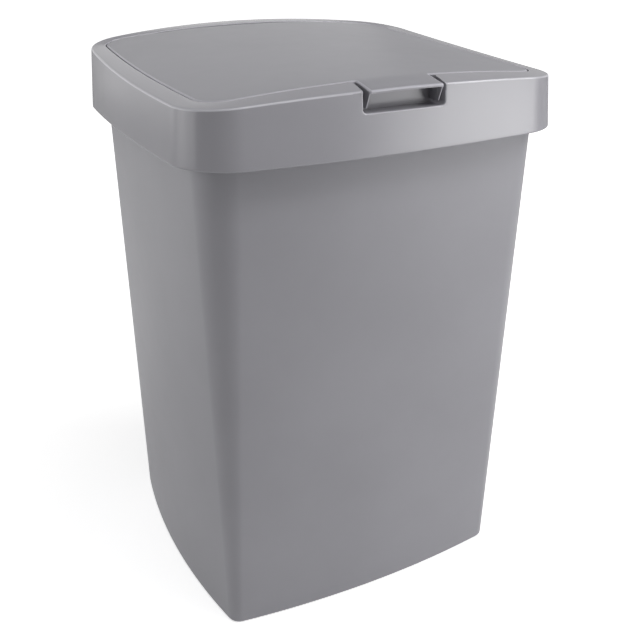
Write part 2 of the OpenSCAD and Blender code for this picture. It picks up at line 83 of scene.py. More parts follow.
CHEEK_LOW = LEDGE_Z + LID_CLEAR - 0.8
PAD_Y = OPEN_FY + LEDGE_W + 0.6
LATCH_Y = PAD_Y + PLUNGER_IN
HINGE_SPAN = EAR_T + EAR_GAP + KNUCKLE / 2
STRIKE_LOW = LEDGE_Z + 5 + 3 + 0.3 + 0.3
BOSS_LOW = STRIKE_LOW + 0.7


def crown(x):
    """Fall of the lid's crown at a distance from the middle."""
    return sqrt(LID_R * LID_R - x * x) - LID_R


def edge_height(x, y):
    """Height of the collar's top edge."""
    return EDGE_Z + CROWN * (1 - (x / HW) ** 2) - DIP * (1 - (y / HD) ** 2) + RISE * y / HD


def lid_height(x, y):
    """Height of the lid's crowned surface."""
    return LID_TOP + y * tan(LID_TILT) + crown(x) / cos(LID_TILT)


def side(p, q, bow, rp, rq, n):
    """Points of one bowed side between two corner centres."""
    c = hypot(q[0] - p[0], q[1] - p[1])
    t = ((q[0] - p[0]) / c, (q[1] - p[1]) / c)
    o = (t[1], -t[0])
    s = max(bow, 0.01)
    big = (c * c / 4 + s * s) / (2 * s)
    cx, cy = (p[0] + q[0]) / 2 + o[0] * (s - big), (p[1] + q[1]) / 2 + o[1] * (s - big)
    half, mid = asin(c / 2 / big), atan2(o[1], o[0])
    out = []
    for i in range(n):
        u = i / (n - 1)
        a = mid - half + 2 * half * u
        r = big + rp + (rq - rp) * u
        out.append((cx + r * cos(a), cy + r * sin(a)))
    return out


def side_half(p, q, bow):
    c, s = hypot(q[0] - p[0], q[1] - p[1]), max(bow, 0.01)
    return asin(c / 2 / ((c * c / 4 + s * s) / (2 * s)))


def corner(p, r, mid, before, after, n):
    """Points of one rounded corner between its two sides."""
    out = []
    for i in range(1, n + 1):
        a = radians(mid - 45) + before + (pi / 2 - before - after) * i / (n + 1)
        out.append((p[0] + r * cos(a), p[1] + r * sin(a)))
    return out


def outline(w, yf, yb, rf, rb, bf, bs, bb, sn, cn):
    """A bowed rounded rectangle in plan."""
    fl, fr = (-(w - bs - rf), yf + bf + rf), (w - bs - rf, yf + bf + rf)
    br, bl = (w - bs - rb, yb - bb - rb), (-(w - bs - rb), yb - bb - rb)
    hf, hs, hb = side_half(fl, fr, bf), side_half(fr, br, bs), side_half(br, bl, bb)
    lean = atan2(fr[0] - br[0], br[1] - fr[1])
    return (side(fl, fr, bf, rf, rf, sn) + corner(fr, rf, -45, hf, hs - lean, cn)
            + side(fr, br, bs, rf, rb, sn) + corner(br, rb, 45, hs + lean, hb, cn)
            + side(br, bl, bb, rb, rb, sn) + corner(bl, rb, 135, hb, hs + lean, cn)
            + side(bl, fl, bs, rb, rf, sn) + corner(fl, rf, -135, hs - lean, hf, cn))


def collar_outline(inset, sn=41, cn=22):
    return outline(HW - inset, -HD + inset, HD - inset, COLLAR_R - inset, COLLAR_R - inset,
                   BOW_FRONT, BOW_SIDE, BOW_BACK, sn, cn)


def open_outline(inset, sn=41, cn=22):
    return outline(OPEN_W / 2 - inset, OPEN_FY + inset, OPEN_BY - inset, OPEN_RF - inset, OPEN_RB - inset,
                   BOW_FRONT, BOW_SIDE, 0, sn, cn)


def body_outline(z, inset, sn=41, cn=22):
    u = z / BOTTOM_Z
    top = collar_outline(OVERHANG - FLARE + inset, sn, cn)
    low = outline(BASE_W / 2 - inset, BASE_SHIFT - BASE_D / 2 + inset, BASE_SHIFT + BASE_D / 2 - inset,
                  max(BASE_R - inset, 1.0), max(BASE_R - inset, 1.0), *BASE_BOWS, sn, cn)
    return [(a[0] + (b[0] - a[0]) * u, a[1] + (b[1] - a[1]) * u) for a, b in zip(low, top)]


def mix(a, b, u):
    return [(p[0] + (q[0] - p[0]) * u, p[1] + (q[1] - p[1]) * u) for p, q in zip(a, b)]


def level(points, z):
    return [Vector((x, y, z)) for x, y in points]


def on_edge(points, drop):
    return [Vector((x, y, edge_height(x, y) - drop)) for x, y in points]


def on_lid(points, drop):
    return [Vector((x, y, lid_height(x, y) - drop)) for x, y in points]


def rounded(rings, closed):
    """Softens the corners between rings. Each ring is (points, radius, segments)."""
    out, m = [], len(rings)
    for j, (ring, r, n) in enumerate(rings):
        if r == 0 or (not closed and j in (0, m - 1)):
            out.append(ring)
            continue
        before, after = rings[(j - 1) % m][0], rings[(j + 1) % m][0]
        for k in range(n + 1):
            u = k / n
            row = []
            for p, a, b in zip(ring, before, after):
                da, db = (a - p), (b - p)
                pa = p + da * min(0.48, r / max(da.length, 1e-6))
                pb = p + db * min(0.48, r / max(db.length, 1e-6))
                row.append(pa * (1 - u) ** 2 + p * (2 * u * (1 - u)) + pb * u * u)
            out.append(row)
    return out


def make(name, verts, faces, sharp=32.0):
    """A smooth mesh object from millimetre points, with its normals outward."""
    mesh = bpy.data.meshes.new(name)
    mesh.from_pydata([tuple(c * MM for c in v) for v in verts], [], faces)
    obj = bpy.data.objects.new(name, mesh)
    bpy.context.scene.collection.objects.link(obj)
    tidy(obj, sharp)
    return obj


def tidy(obj, sharp=32.0):
    bm = bmesh.new()
    bm.from_mesh(obj.data)
    bmesh.ops.remove_doubles(bm, verts=bm.verts, dist=1e-6)
    bmesh.ops.dissolve_degenerate(bm, edges=bm.edges, dist=1e-7)
    bmesh.ops.recalc_face_normals(bm, faces=bm.faces)
    limit = radians(sharp)
    for f in bm.faces:
        f.smooth = True
    for e in bm.edges:
        e.smooth = not (len(e.link_faces) == 2 and e.calc_face_angle(0) > limit)
    mark_edge_highlights(bm)
    bm.to_mesh(obj.data)
    bm.free()


def mark_edge_highlights(bm):
    """Marks the narrow faces that round an outward edge, for the painted highlight of the material."""
    layer = bm.faces.layers.float.get("painted_highlight") or bm.faces.layers.float.new("painted_highlight")
    for f in bm.faces:
        bend = max(e.calc_face_angle_signed(0) if len(e.link_faces) == 2 else 0 for e in f.edges)
        long = max(e.calc_length() for e in f.edges)
        width = f.calc_area() / max(long, 1e-9)
        narrow = width < HIGHLIGHT_WIDTH * MM and len(f.verts) == 4
        f[layer] = min(max((bend - radians(HIGHLIGHT_BEND)) / radians(HIGHLIGHT_SPAN), 0), 1) if narrow else 0.0


def loft(name, rings, closed, caps=True, sharp=32.0):
    """Skin between successive rings, closed by a last ring or by flat caps."""
    n, m = len(rings[0]), len(rings)
    verts = [p for ring in rings for p in ring]
    faces = []
    for j in range(m if closed else m - 1):
        for i in range(n):
            a, b = j * n + i, j * n + (i + 1) % n
            c, d = ((j + 1) % m) * n + (i + 1) % n, ((j + 1) % m) * n + i
            faces.append((a, b, c, d))
    if not closed and caps:
        faces.append(tuple(range(n)))
        faces.append(tuple(range((m - 1) * n, m * n)))
    return make(name, verts, faces, sharp)


def prism(name, profile, low, high, axis="x"):
    """A profile drawn out between two places along one axis."""
    n = len(profile)
    if axis == "x":
        verts = [(low, a, b) for a, b in profile] + [(high, a, b) for a, b in profile]
    elif axis == "y":
        verts = [(a, low, b) for a, b in profile] + [(a, high, b) for a, b in profile]
    else:
        verts = [(a, b, low) for a, b in profile] + [(a, b, high) for a, b in profile]
    faces = [tuple(range(n)), tuple(range(n, 2 * n))]
    faces += [(i, (i + 1) % n, n + (i + 1) % n, n + i) for i in range(n)]
    return make(name, verts, faces)


def boolean(obj, tool, how):
    """Joins or cuts obj by tool, and removes the tool."""
    mod = obj.modifiers.new("cut", "BOOLEAN")
    mod.operation, mod.object, mod.solver = how, tool, "EXACT"
    bake(obj)
    bpy.data.objects.remove(tool, do_unlink=True)


def bake(obj):
    """Applies the object's modifiers to its mesh."""
    bpy.context.view_layer.update()
    deps = bpy.context.evaluated_depsgraph_get()
    mesh = bpy.data.meshes.new_from_object(obj.evaluated_get(deps))
    obj.modifiers.clear()
    obj.data = mesh


def arc(cx, cy, r, a0, a1, n):
    return [(cx + r * cos(radians(a0 + (a1 - a0) * k / n)), cy + r * sin(radians(a0 + (a1 - a0) * k / n)))
            for k in range(n + 1)]


def join(objs, name):
    """One object from several."""
    bm = bmesh.new()
    for o in objs:
        bm.from_mesh(o.data)
    for o in objs[1:]:
        bpy.data.objects.remove(o, do_unlink=True)
    bm.to_mesh(objs[0].data)
    bm.free()
    objs[0].name = name
    return objs[0]


# Body: a tapering bucket with a softened base, a ring foot and a turned down rim
def body():
    rise = FOOT_H + FLOOR_T
    walls = [18 + (BOTTOM_Z - 24) * k / 13 for k in range(14)]
    rings = [(level(body_outline(FOOT_H, FOOT_W + 1), FOOT_H), 0, 0),
             (level(body_outline(0, FOOT_W), 0), 0.8, 3),
             (level(body_outline(0, 0), 0), 3.4, 8)]
    rings += [(level(body_outline(z, 0), z), 0, 0) for z in walls]
    rings += [(level(body_outline(RIM_Z - RIM_T, 0), RIM_Z - RIM_T), 1.2, 4),
              (level(body_outline(RIM_Z, RIM_T - RIM_OUT), RIM_Z - RIM_T), 0.8, 3),
              (level(body_outline(RIM_Z, RIM_T - RIM_OUT), RIM_Z - RIM_LIP), 0.7, 3),
              (level(body_outline(RIM_Z, -RIM_OUT), RIM_Z - RIM_LIP), 0.7, 3),
              (level(body_outline(RIM_Z, -RIM_OUT), RIM_Z), 1.6, 5),
              (level(body_outline(RIM_Z, BODY_WALL), RIM_Z), 1.4, 5)]
    rings += [(level(body_outline(z, BODY_WALL), z), 0, 0) for z in reversed(walls)]
    rings += [(level(body_outline(rise, BODY_WALL), rise), 6, 8),
              (level(body_outline(rise, BODY_WALL + 14), rise), 0, 0)]
    return loft("body_shell", rounded(rings, False), False)


def on_skirt(u):
    """Ring on the collar's skirt, from its lower edge at 0 to its top edge at 1."""
    low, top = level(collar_outline(-FLARE), BOTTOM_Z), on_edge(collar_outline(0), 0.1)
    return [a + (b - a) * u for a, b in zip(low, top)]


def skirt_y(x, z):
    """Front surface of the skirt near the middle."""
    top = edge_height(x, -HD)
    u = (z - BOTTOM_Z) / (top - BOTTOM_Z)
    return -HD + BOW_FRONT * (x / (HW - BOW_SIDE - COLLAR_R)) ** 2 * 0.93 - FLARE * (1 - min(u, 1))


# Collar: skirt, bevelled strip, inner wall, ledge and inner lip, with the notch and its pocket cut in
def collar():
    skin, wall = collar_outline(WALL), open_outline(-WALL)
    rib = RIM_Z + SEAT
    rings = [(level(collar_outline(WALL - FLARE), BOTTOM_Z), 0.9, 4),
             (level(collar_outline(-FLARE), BOTTOM_Z), 1.0, 4),
             *[(on_skirt(u), 0, 0) for u in (0.05, 0.15, 0.28, 0.4, 0.52, 0.64, 0.76, 0.88, 0.95)],
             (on_edge(collar_outline(0), 0.1), 1.7, 7),
             (on_lid(open_outline(0), 0), 0.8, 4),
             (level(open_outline(0), LEDGE_Z), 0.5, 2),
             (level(open_outline(LEDGE_W), LEDGE_Z), 0.8, 3),
             (level(open_outline(LEDGE_W), LIP_LOW), 0.8, 3),
             (level(open_outline(LEDGE_W - WALL), LIP_LOW), 0.8, 3),
             (level(open_outline(LEDGE_W - WALL), LEDGE_LOW), 0, 0),
             (level(wall, LEDGE_LOW), 0, 0),
             (on_lid(wall, WALL), 0, 0),
             (on_edge(mix(skin, wall, 0.6), WALL), 0, 0),
             (level(mix(skin, wall, 0.6), rib), 0, 0),
             (level(mix(skin, wall, 0.35), rib), 0, 0),
             (on_edge(mix(skin, wall, 0.35), WALL), 0, 0),
             (on_edge(skin, WALL + 0.6), 0, 0)]
    obj = loft("collar", rounded(rings, True), True)
    half = NOTCH_W / 2
    front, back = -HD + 0.3, OPEN_FY - WALL / 2
    filler = prism("filler", [(front, LEDGE_LOW + 0.01), (back, LEDGE_LOW + 0.01),
                              (back, lid_height(half, back) - WALL / 2),
                              (front, edge_height(half, front) - WALL / 2)],
                   -half - FILL_SIDE, half + FILL_SIDE)
    boolean(obj, filler, "UNION")
    # The notch is cut with a flare at its mouth, which rounds its outer edges
    turn = [(NOTCH_EDGE * (1 - cos(radians(a))), NOTCH_EDGE * (1 - sin(radians(a)))) for a in range(0, 91, 15)]
    rings = []
    for depth, out in [(-6, NOTCH_EDGE)] + turn + [(HD, 0)]:
        plan = [(-half - out, EDGE_Z + ABOVE), (-half - out, LEDGE_Z + NOTCH_R + 8)]
        plan += arc(NOTCH_R - half, LEDGE_Z + NOTCH_R, NOTCH_R + out, 180, 270, 8)
        plan += [(x, LEDGE_Z - out) for x in (-24, -12, 0, 12, 24)]
        plan += arc(half - NOTCH_R, LEDGE_Z + NOTCH_R, NOTCH_R + out, 270, 360, 8)
        plan += [(half + out, LEDGE_Z + NOTCH_R + 8), (half + out, EDGE_Z + ABOVE)]
        rings.append([Vector((x, min(skirt_y(x, z) + depth, OPEN_FY - WALL), z)) for x, z in plan])
    boolean(obj, loft("cut_a", rings, False), "DIFFERENCE")
    near, far = OPEN_FY - WALL - 0.01, OPEN_FY + 4
    boolean(obj, prism("cut_b", [(near, POCKET_Z), (far, POCKET_Z), (far, EDGE_Z + ABOVE), (near, EDGE_Z + ABOVE)],
                       -half, half), "DIFFERENCE")
    # The strip's inner corners beside the notch are rounded in plan
    r = 3.0
    for s in (-1, 1):
        plan = [(s * (half - 1), OPEN_FY - r), (s * half, OPEN_FY - r)]
        plan += [(s * (half + r - r * cos(radians(a))), OPEN_FY - r + r * sin(radians(a)))
                 for a in (15, 30, 45, 60, 75)]
        plan += [(s * (half + r), OPEN_FY), (s * (half + r), OPEN_FY + 1.5), (s * (half - 1), OPEN_FY + 1.5)]
        boolean(obj, prism("cut_c", plan, LEDGE_Z + 8, EDGE_Z + ABOVE, "z"), "DIFFERENCE")
    tidy(obj)
    return obj


# Contour of the lid with its tab, as (x, y, lowest z, place), anticlockwise from the tab's left end
def lid_contour():
    half, r = TAB_W / 2, 1.6
    pts = open_outline(LID_GAP, 61, 22)
    front = [p for p in pts if not (p[1] < LID_FY + 2 and abs(p[0]) <= half + 1.4)]
    # The tab goes in where the front edge crosses the middle
    start = next(i for i in range(len(front)) if front[i - 1][0] < 0 < front[i][0] and front[i][1] < 0)
    loop = front[start:] + front[:start]
    edge_y = min(loop[0][1], loop[-1][1])
    ys = [-146.5, -147.9, -148.0, -150, -152, -154, -156, -157.5,
          -158.4, -158.6, -159.5, -160.5, -161.5, -162.4, -163.0]
    left = [(-half - 1.2 + 1.2 * sin(radians(a)), edge_y - 1.2 + 1.2 * cos(radians(a)))
            for a in (0, 22, 45, 67, 90)]
    left += [(-half, y) for y in ys]
    nose = arc(-half + r, LIP_Y + r, r, 180, 270, 6)
    bottom = [(-half + r + (TAB_W - 2 * r) * k / 24, LIP_Y) for k in range(1, 24)]
    right = [(-x, y) for x, y in reversed(left + nose)]
    tab = left + nose + bottom + right
    return tab, loop


def tab_low(x, y):
    """Lowest height of the tab's skirt: its lip, then the cheeks' front edges that slope back."""
    lip = LIP_LOW_Z + crown(x) / cos(TAB_TILT)
    if y < LIP_Y + LIP_TURN:
        return lip
    if y < LIP_Y + CHEEK_BACK:
        return lip + (y - LIP_Y - LIP_TURN) / (CHEEK_BACK - LIP_TURN) * (CHEEK_LOW - lip)
    if y < -147.95:
        return CHEEK_LOW
    return PASS_Z


def rim_low(y):
    if y > AXIS_Y:
        return AXIS_Z - 0.6
    return LID_LOW + (y - LID_FY) * tan(LID_TILT)


def lid_top(x, y):
    """The lid's surface: crown, rolled back edge and soft turn down to the tab."""
    z = lid_height(x, y)
    t = lid_height(0, LID_FY) + (y - LID_FY) * tan(TAB_TILT) + crown(x) / cos(TAB_TILT)
    k = 0.6
    h = max(k - abs(z - t), 0) / k
    z = min(z, t) - h * h * k / 4
    if y > AXIS_Y:
        z = min(z, AXIS_Z + sqrt(max(ROLL_R ** 2 - (y - AXIS_Y) ** 2, 0)))
    return z


def inward(points, d):
    """Points moved to the left of their direction of travel."""
    out, n = [], len(points)
    for i in range(n):
        a, p, b = Vector(points[i - 1]), Vector(points[i]), Vector(points[(i + 1) % n])
        u, v = (p - a), (b - p)
        u, v = u.normalized(), v.normalized()
        nu, nv = Vector((-u.y, u.x)), Vector((-v.y, v.x))
        m = nu + nv
        m = m / max(m.dot(nu), 0.3)
        out.append((p.x + m.x * d, p.y + m.y * d))
    return out


def lid():
    tab, rest = lid_contour()
    contour = tab + rest
    n = len(contour)
    lows = [tab_low(x, y) for x, y in tab] + [rim_low(y) for x, y in rest]
    soft = [1.2 if i < len(tab) else (1.1 if contour[i][1] < 118 else 0.5) for i in range(n)]
    rings = []
    for k in range(7):
        a = radians(90 * k / 6)
        ring = inward(contour, EDGE_FILLET * (1 - cos(a)))
        row = []
        for i, (x, y) in enumerate(ring):
            row.append((x, y, lid_top(x, y) - soft[i] * (1 - sin(a))))
        rings.append(row)
    heights = [r[2] for r in rings[0]]
    drops = []
    for f in (0.0, 0.06, 0.35, 0.7, 0.94, 1.0):
        drops.append([(x, y, lo + (h - lo) * f) for (x, y), lo, h in zip(contour, lows, heights)])
    verts, faces = [], []
    rows = drops[:-1] + rings
    for row in rows:
        verts += row
    for j in range(len(rows) - 1):
        for i in range(n):
            faces.append((j * n + i, j * n + (i + 1) % n, (j + 1) * n + (i + 1) % n, (j + 1) * n + i))
    # The middle of the top is filled by a grid that meets the last ring
    base = (len(rows) - 1) * n
    border = [Vector((p[0], p[1])) for p in rings[-1]]
    inner = inward([(p.x, p.y) for p in border], 2.2)
    ys = [-162 + 4.2 * k for k in range(70) if -162 + 4.2 * k < AXIS_Y - 3]
    ys += [AXIS_Y + ROLL_R * sin(radians(a)) for a in range(-10, 78, 7)]
    grid = [Vector((-150 + 4.6 * k + 1.1, y)) for y in ys for k in range(66)]
    grid = [p for p in grid if inside((p.x, p.y), inner)]
    points = border + grid
    edges = [(i, (i + 1) % n) for i in range(n)]
    got, _, tris, _, _, _ = delaunay_2d_cdt(points, edges, [list(range(n))], 1, 1e-5)
    index = {}
    for i, p in enumerate(got):
        if i < n and (p - border[i]).length < 1e-6:
            index[i] = base + i
        else:
            index[i] = len(verts)
            verts.append((p.x, p.y, lid_top(p.x, p.y)))
    faces += [tuple(index[v] for v in f) for f in tris]
    obj = make("lid_shell", verts, faces, 40)
    mod = obj.modifiers.new("skin", "SOLIDIFY")
    mod.thickness, mod.offset, mod.use_even_offset, mod.use_rim = LID_SKIN * MM, -1, True, True
    bake(obj)
    # The cheeks thin out towards their front edges
    half = TAB_W / 2
    for v in obj.data.vertices:
        x, y, z = v.co / MM
        if y < -150 and z < LIP_LOW_Z - 0.8 and half - 3.5 < abs(x) < half - 0.7:
            front = LIP_Y + LIP_TURN + (LIP_LOW_Z - z) / (LIP_LOW_Z - CHEEK_LOW) * (CHEEK_BACK - LIP_TURN)
            share = min(max(1 - (y - front) / 4.0, 0), 1)
            v.co.x += (1 if x > 0 else -1) * share * 1.3 * MM
    tidy(obj, 40)
    return obj


def inside(p, poly):
    hit, n = False, len(poly)
    for i in range(n):
        a, b = poly[i], poly[(i + 1) % n]
        if (a[1] > p[1]) != (b[1] > p[1]) and p[0] < (b[0] - a[0]) * (p[1] - a[1]) / (b[1] - a[1]) + a[0]:
            hit = not hit
    return hit


def tube(name, r, length, x, y, z, n=40, soft=0.3):
    """A rod along X with softened ends."""
    rings = []
    for dx, rr in ((-length / 2, r - soft), (-length / 2 + soft * 0.3, r - soft * 0.3), (-length / 2 + soft, r),
                   (length / 2 - soft, r), (length / 2 - soft * 0.3, r - soft * 0.3), (length / 2, r - soft)):
        rings.append([Vector((x + dx, y + rr * cos(2 * pi * k / n), z + rr * sin(2 * pi * k / n))) for k in range(n)])
    return loft(name, rings, False)


def lid_inside():
    """The lid's front web, hinge knuckles and strike boss."""
    half = TAB_W / 2 - 1
    near, far, high = LID_FY + 0.1, LID_FY + LID_WALL, lid_height(half, LID_FY) - 1.3
    parts = [prism("web", [(near, LID_LOW), (far, LID_LOW), (far, high), (near, high)], -half, half)]
    for s in (-1, 1):
        x = s * HINGE_X
        top = lid_height(HINGE_X + KNUCKLE / 2, AXIS_Y) - 1.0
        block = prism("knuckle", [(AXIS_Y - EAR_R, AXIS_Z), (AXIS_Y - EAR_R, top), (AXIS_Y + 3.2, top - 0.6),
                                  (AXIS_Y + EAR_R, AXIS_Z)], x - KNUCKLE / 2, x + KNUCKLE / 2)
        boolean(block, tube("barrel", EAR_R, KNUCKLE, x, AXIS_Y, AXIS_Z, soft=0.05), "UNION")
        boolean(block, tube("bore", PIN_R + 0.05, KNUCKLE + 2, x, AXIS_Y, AXIS_Z, soft=0.01), "DIFFERENCE")
        parts.append(block)
    n, r = 56, STRIKE_R + 1.5
    z1 = lid_height(0, LATCH_Y) - 1.0
    rings = [[Vector((q * cos(2 * pi * k / n), LATCH_Y + q * sin(2 * pi * k / n), z)) for k in range(n)]
             for q, z in ((STRIKE_R + 0.05, z1), (STRIKE_R + 0.05, BOSS_LOW), (r - 0.3, BOSS_LOW),
                          (r, BOSS_LOW + 0.3), (r, z1))]
    parts.append(loft("boss", rings, False, caps=False))
    for o in parts:
        tidy(o, 35)
    return join(parts, "lid_fittings")


def collar_inside():
    """The collar's hinge ears and the pad that carries the latch."""
    parts = []
    lip_back, reach = OPEN_BY - LEDGE_W + WALL / 2, EAR_R * 2
    profile = [(lip_back, LIP_LOW + 4), (lip_back + 4, LEDGE_LOW + WALL / 2), (lip_back + 4, AXIS_Z - ROLL_R - 1),
               (AXIS_Y - 2.2, AXIS_Z - ROLL_R), (AXIS_Y - 2.2, AXIS_Z + 1), (AXIS_Y - EAR_R + 0.6, AXIS_Z + 2.4),
               (AXIS_Y - reach - 2.2, AXIS_Z - reach), (AXIS_Y - reach - 2.2, LEDGE_Z), (AXIS_Y - 6, LIP_LOW + 8)]
    for s in (-1, 1):
        for q in (-1, 1):
            x = s * HINGE_X + q * (HINGE_SPAN - EAR_T / 2)
            ear = prism("ear", profile, x - EAR_T / 2, x + EAR_T / 2)
            boolean(ear, tube("round", EAR_R, EAR_T, x, AXIS_Y, AXIS_Z, soft=0.02), "UNION")
            boolean(ear, tube("bore", PIN_R + 0.05, EAR_T + 2, x, AXIS_Y, AXIS_Z, soft=0.01), "DIFFERENCE")
            parts.append(ear)
    parts.append(prism("pad", [(PAD_Y - 2.6, LIP_LOW - 5), (PAD_Y, LIP_LOW - 4.4), (PAD_Y, LEDGE_Z - 0.1),
                               (PAD_Y - 2.6, LEDGE_Z - 0.1)], -22, 22))
    for o in parts:
        tidy(o, 35)
    return join(parts, "collar_fittings")


# Materials
VARY = 0.025  # Roughness varies by this much either way


def plastic(name, colour, rough=0.36, grain=0.2, tint=0.03, painted_highlight=0.5, shine=0.5):
    """Satin moulded plastic with a fine grain, faint cloudiness and a painted highlight on rounded edges."""
    mat = bpy.data.materials.new(name)
    mat.use_nodes = True
    nt = mat.node_tree
    bsdf = nt.nodes["Principled BSDF"]
    tc = nt.nodes.new("ShaderNodeTexCoord")
    cloud = nt.nodes.new("ShaderNodeTexNoise")
    cloud.inputs["Scale"].default_value = 9.0
    cloud.inputs["Detail"].default_value = 4.0
    nt.links.new(tc.outputs["Object"], cloud.inputs["Vector"])
    ramp = nt.nodes.new("ShaderNodeValToRGB")
    dark = [c * (1 - tint) for c in colour]
    pale = [c * (1 + tint) for c in colour]
    ramp.color_ramp.elements[0].position, ramp.color_ramp.elements[1].position = 0.35, 0.65
    ramp.color_ramp.elements[0].color, ramp.color_ramp.elements[1].color = (*dark, 1), (*pale, 1)
    nt.links.new(cloud.outputs["Fac"], ramp.inputs["Fac"])
    # Rounded edges get a painted highlight: a paler colour that stands in for the light they catch
    shape = nt.nodes.new("ShaderNodeAttribute")
    shape.attribute_name = "painted_highlight"
    highlight_strength = nt.nodes.new("ShaderNodeMapRange")
    highlight_strength.inputs["To Max"].default_value = painted_highlight
    nt.links.new(shape.outputs["Fac"], highlight_strength.inputs["Value"])
    edge = nt.nodes.new("ShaderNodeMix")
    edge.data_type = "RGBA"
    edge.inputs["B"].default_value = (*[c * 2.2 for c in colour], 1)
    nt.links.new(highlight_strength.outputs["Result"], edge.inputs["Factor"])
    nt.links.new(ramp.outputs["Color"], edge.inputs["A"])
    nt.links.new(edge.outputs["Result"], bsdf.inputs["Base Color"])
    sheen = nt.nodes.new("ShaderNodeTexNoise")
    sheen.inputs["Scale"].default_value = 60.0
    sheen.inputs["Detail"].default_value = 3.0
    nt.links.new(tc.outputs["Object"], sheen.inputs["Vector"])
    span = nt.nodes.new("ShaderNodeMapRange")
    span.inputs["To Min"].default_value, span.inputs["To Max"].default_value = rough - VARY, rough + VARY
    nt.links.new(sheen.outputs["Fac"], span.inputs["Value"])
    nt.links.new(span.outputs["Result"], bsdf.inputs["Roughness"])
    fine = nt.nodes.new("ShaderNodeTexNoise")
    fine.inputs["Scale"].default_value = 1400.0
    fine.inputs["Detail"].default_value = 2.0
    nt.links.new(tc.outputs["Object"], fine.inputs["Vector"])
    bump = nt.nodes.new("ShaderNodeBump")
    bump.inputs["Strength"].default_value = grain
    bump.inputs["Distance"].default_value = 0.00006
    nt.links.new(fine.outputs["Fac"], bump.inputs["Height"])
    nt.links.new(bump.outputs["Normal"], bsdf.inputs["Normal"])
    bsdf.inputs["IOR"].default_value = 1.54
    bsdf.inputs["Specular IOR Level"].default_value = shine
    return mat


def steel(name, colour, rough=0.46):
    """Drawn zinc plated steel with fine lines."""
    mat = bpy.data.materials.new(name)
    mat.use_nodes = True
    nt = mat.node_tree
    bsdf = nt.nodes["Principled BSDF"]
    bsdf.inputs["Metallic"].default_value = 1.0
    tc = nt.nodes.new("ShaderNodeTexCoord")
    stretch = nt.nodes.new("ShaderNodeMapping")
    stretch.inputs["Scale"].default_value = (60, 900, 900)
    nt.links.new(tc.outputs["Object"], stretch.inputs["Vector"])
    lines = nt.nodes.new("ShaderNodeTexNoise")
    lines.inputs["Scale"].default_value = 1.5
    nt.links.new(stretch.outputs["Vector"], lines.inputs["Vector"])
    ramp = nt.nodes.new("ShaderNodeValToRGB")
    ramp.color_ramp.elements[0].color = (*[c * 0.85 for c in colour], 1)
    ramp.color_ramp.elements[1].color = (*colour, 1)
    nt.links.new(lines.outputs["Fac"], ramp.inputs["Fac"])
    nt.links.new(ramp.outputs["Color"], bsdf.inputs["Base Color"])
    span = nt.nodes.new("ShaderNodeMapRange")
    span.inputs["To Min"].default_value, span.inputs["To Max"].default_value = rough - 0.06, rough + 0.08
    nt.links.new(lines.outputs["Fac"], span.inputs["Value"])
    nt.links.new(span.outputs["Result"], bsdf.inputs["Roughness"])
    return mat


def paint(obj, mat):
    obj.data.materials.clear()
    obj.data.materials.append(mat)


GREY = (0.298, 0.294, 0.320)
# Each plastic paints a paler highlight on its marked rounded edges, faintest on the body
body_mat = plastic("body_plastic", GREY, 0.32, painted_highlight=0.15)
collar_mat = plastic("collar_plastic", (0.312, 0.307, 0.334), 0.24, painted_highlight=0.45, shine=0.7)
lid_mat = plastic("lid_plastic", (0.276, 0.272, 0.298), 0.36)
dark_mat = plastic("dark_plastic", (0.030, 0.030, 0.033), 0.5)
soft_mat = plastic("soft_pads", (0.012, 0.012, 0.013), 0.75, 0.8)
steel_mat = steel("steel", (0.50, 0.51, 0.53))
magnet_mat = plastic("magnet", (0.02, 0.02, 0.022), 0.55, 0.8)

shell = body()
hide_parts("bin_body")
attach(shell, "bin")
paint(shell, body_mat)

ring = collar()
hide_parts("lid_frame")
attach(ring, "frame")
paint(ring, collar_mat)
# The collar's lower edge gets no painted highlight
for face, mark in zip(ring.data.polygons, ring.data.attributes["painted_highlight"].data):
    if face.center.z < (LEDGE_Z - 2) * MM:
        mark.value = 0.0
fittings = collar_inside()
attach(fittings, "frame")
paint(fittings, collar_mat)

flap = lid()
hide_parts("flap_lid")
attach(flap, "flap")
paint(flap, lid_mat)
under = lid_inside()
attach(under, "flap")
paint(under, lid_mat)

for node, mat in (("hinge_pin_left", steel_mat), ("hinge_pin_right", steel_mat), ("latch_stop_pin", steel_mat),
                  ("latch_spring", steel_mat), ("strike_plate", steel_mat), ("latch_screws", steel_mat),
                  ("latch_housing", dark_mat), ("latch_plunger", collar_mat), ("latch_magnet", magnet_mat),
                  ("lid_bumpers", soft_mat)):
    paint(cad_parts[node], mat)

# Camera at the photograph's place
scene = bpy.context.scene
cam_data = bpy.data.cameras.new("camera")
cam = bpy.data.objects.new("camera", cam_data)
scene.collection.objects.link(cam)
cam.location = (-0.360813, -0.723598, 0.606931)
aim = Vector((0.009712, -0.005008, 0.291248)) - cam.location
cam.rotation_euler = aim.to_track_quat("-Z", "Y").to_euler()
cam_data.sensor_width = 36.0
cam_data.lens = 50.61
cam_data.shift_x = -0.0009
cam_data.shift_y = -0.0994
cam_data.dof.use_dof = False
scene.camera = cam

